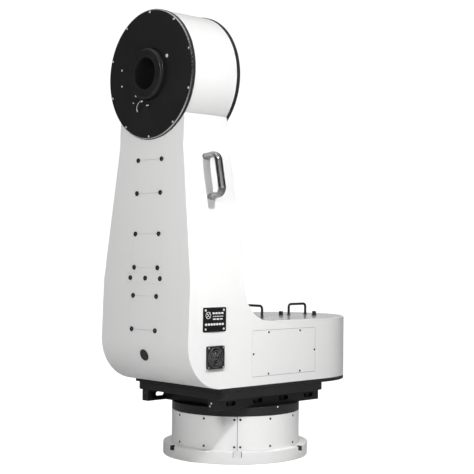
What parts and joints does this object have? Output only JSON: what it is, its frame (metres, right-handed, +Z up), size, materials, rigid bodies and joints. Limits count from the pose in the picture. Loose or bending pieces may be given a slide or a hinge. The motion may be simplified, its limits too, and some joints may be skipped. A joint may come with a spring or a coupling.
{
  "type": "equatorial mount",
  "caption": "L-shaped single-arm direct-drive telescope mount: round flanged pedestal, white box and tapered arm, and a drum-shaped head with a bored altitude axis.",
  "frame": {"origin": "on the floor, where the azimuth axis meets the underside of the pedestal flange", "axes": "+Z up along the azimuth axis; +X from the arm towards the rounded end of the box, parallel to the altitude axis, which is 1.44 m up; -Y is the side with the grab handle and the fan"},
  "size_m": [0.992, 0.566, 1.68],
  "materials": {
    "white_paint": "satin white powder coat on aluminium",
    "black_anodised": "satin black anodising on machined aluminium",
    "grey_lid": "matt grey powder coat on aluminium sheet",
    "raw_aluminium": "as machined",
    "bearing_steel": "ground",
    "motor_windings": "varnished copper windings on steel laminations",
    "motor_magnets": "nickel plated magnets on a steel rim",
    "handle_steel": "polished tube",
    "plate_black": "black enamelled plate",
    "black_plastic": "moulded",
    "plug_rubber": "moulded",
    "circuit_board": "solder mask",
    "zinc_case": "zinc plated sheet"
  },
  "bodies": {
    "base": {"base_flange": "white_paint", "pedestal_tube": "white_paint", "drum_cover_near": "white_paint", "drum_cover_far": "white_paint", "drum_cover_hoop": "raw_aluminium", "azimuth_outer_race": "bearing_steel", "azimuth_stator": "motor_windings", "azimuth_readhead": "black_plastic"},
    "azimuth_rollers": {"azimuth_roller_ring": "bearing_steel"},
    "arm": {"azimuth_inner_race": "bearing_steel", "azimuth_spindle": "raw_aluminium", "azimuth_rotor": "motor_magnets", "azimuth_encoder_ring": "bearing_steel", "azimuth_ring": "black_anodised", "turntable_frame": "black_anodised", "deck_plate": "black_anodised", "pan_plate": "black_anodised", "body_shell": "white_paint", "arm_column": "raw_aluminium", "rear_cover_upper": "white_paint", "rear_cover_middle": "white_paint", "rear_cover_lower": "white_paint", "rear_strip": "white_paint", "access_panel": "white_paint", "cable_plug": "plug_rubber", "top_lid": "grey_lid", "lid_handle_outer": "black_anodised", "lid_handle_inner": "black_anodised", "grab_handle": "handle_steel", "nameplate": "plate_black", "fan_guard": "black_plastic", "fan_frame": "black_plastic", "altitude_housing": "raw_aluminium", "head_shell": "white_paint", "front_disc": "black_anodised", "cable_clip": "black_anodised", "altitude_outer_race_front": "bearing_steel", "altitude_outer_race_rear": "bearing_steel", "altitude_stator": "motor_windings", "altitude_readhead": "black_plastic", "controller_board": "circuit_board", "power_supply": "zinc_case", "azimuth_drive": "black_anodised", "altitude_drive": "black_anodised", "electronics_tray": "raw_aluminium"},
    "cooling_fan": {"fan_rotor": "black_plastic"},
    "inner_knob": {"lid_knob_inner": "black_anodised"},
    "outer_knob": {"lid_knob_outer": "black_anodised"},
    "altitude_balls": {"altitude_ball_ring_front": "bearing_steel", "altitude_ball_ring_rear": "bearing_steel"},
    "altitude_group": {"altitude_shaft": "raw_aluminium", "altitude_hub": "black_anodised", "altitude_plate": "black_anodised", "altitude_inner_race_front": "bearing_steel", "altitude_inner_race_rear": "bearing_steel", "altitude_rotor": "motor_magnets", "altitude_encoder_ring": "bearing_steel"}
  },
  "joints": [
    {"name": "azimuth_turn", "type": "hinge", "parent": "base", "child": "arm", "pos_m": [0, 0, 0.157], "axis": [0, 0, 1], "range_deg": [-270, 270]},
    {"name": "azimuth_roller_turn", "type": "hinge", "parent": "base", "child": "azimuth_rollers", "pos_m": [0, 0, 0.157], "axis": [0, 0, 1], "range_deg": [-135, 135]},
    {"name": "altitude_turn", "type": "hinge", "parent": "arm", "child": "altitude_group", "pos_m": [-0.34, 0, 1.44], "axis": [1, 0, 0], "range_deg": [-100, 100]},
    {"name": "altitude_ball_turn", "type": "hinge", "parent": "arm", "child": "altitude_balls", "pos_m": [-0.34, 0, 1.44], "axis": [1, 0, 0], "range_deg": [-50, 50]},
    {"name": "fan_spin", "type": "hinge", "parent": "arm", "child": "cooling_fan", "pos_m": [-0.3445, -0.23, 0.4095], "axis": [0, -1, 0], "continuous": true},
    {"name": "inner_knob_turn", "type": "hinge", "parent": "arm", "child": "inner_knob", "pos_m": [0.254, 0, 0.54], "axis": [0, 0, 1], "range_deg": [0, 90]},
    {"name": "outer_knob_turn", "type": "hinge", "parent": "arm", "child": "outer_knob", "pos_m": [0.372, -0.076, 0.54], "axis": [0, 0, 1], "range_deg": [0, 90]}
  ],
  "couplings": [
    {"joint": "azimuth_roller_turn", "follows": "azimuth_turn", "ratio": 0.49},
    {"joint": "altitude_ball_turn", "follows": "altitude_turn", "ratio": 0.467}
  ]
}
